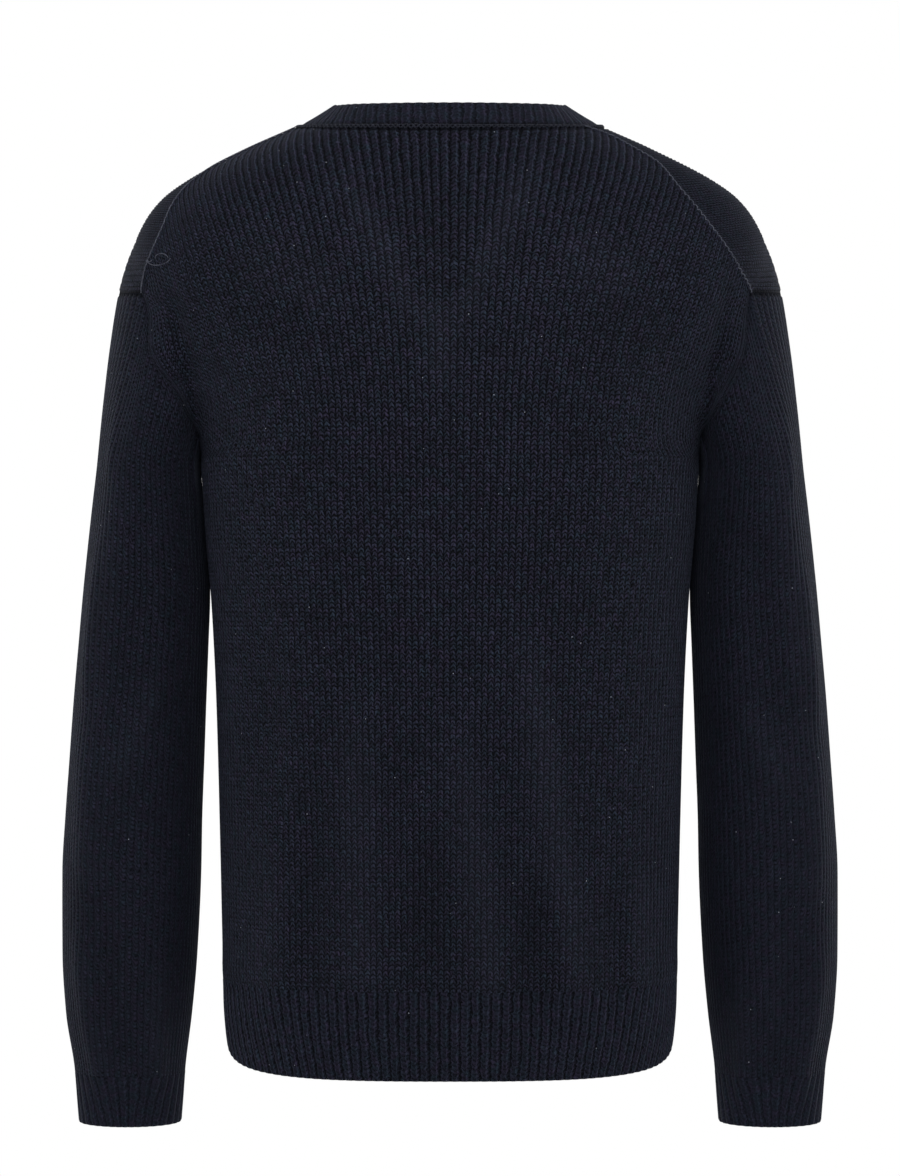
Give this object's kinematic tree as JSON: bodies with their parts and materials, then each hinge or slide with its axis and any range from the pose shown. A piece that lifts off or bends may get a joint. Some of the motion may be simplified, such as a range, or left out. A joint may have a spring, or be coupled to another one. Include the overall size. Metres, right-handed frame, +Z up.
{
  "type": "v-neck sweater",
  "caption": "Navy knitted v-neck sweater, filled out as worn and hollow, with dropped shoulders, long sleeves and ribbed neckband, cuffs and hem.",
  "frame": {"origin": "between the wearer's shoulders, at the level of the seam between the sides of the neck and the neckband", "axes": "+Z up, -Y out of the front, +Y out of the back, +X towards the wearer's left sleeve"},
  "size_m": [0.5572, 0.2525, 0.7303],
  "materials": {
    "plain_knit": "matt plain knit in navy yarn",
    "ribbed_knit": "matt one-by-one rib in navy yarn"
  },
  "bodies": {
    "root": {"back_panel": "plain_knit", "front_panel": "plain_knit", "sleeve_left": "plain_knit", "sleeve_right": "plain_knit", "hem_rib_back": "ribbed_knit", "hem_rib_front": "ribbed_knit", "cuff_left": "ribbed_knit", "cuff_right": "ribbed_knit", "neckband": "ribbed_knit"}
  },
  "joints": []
}
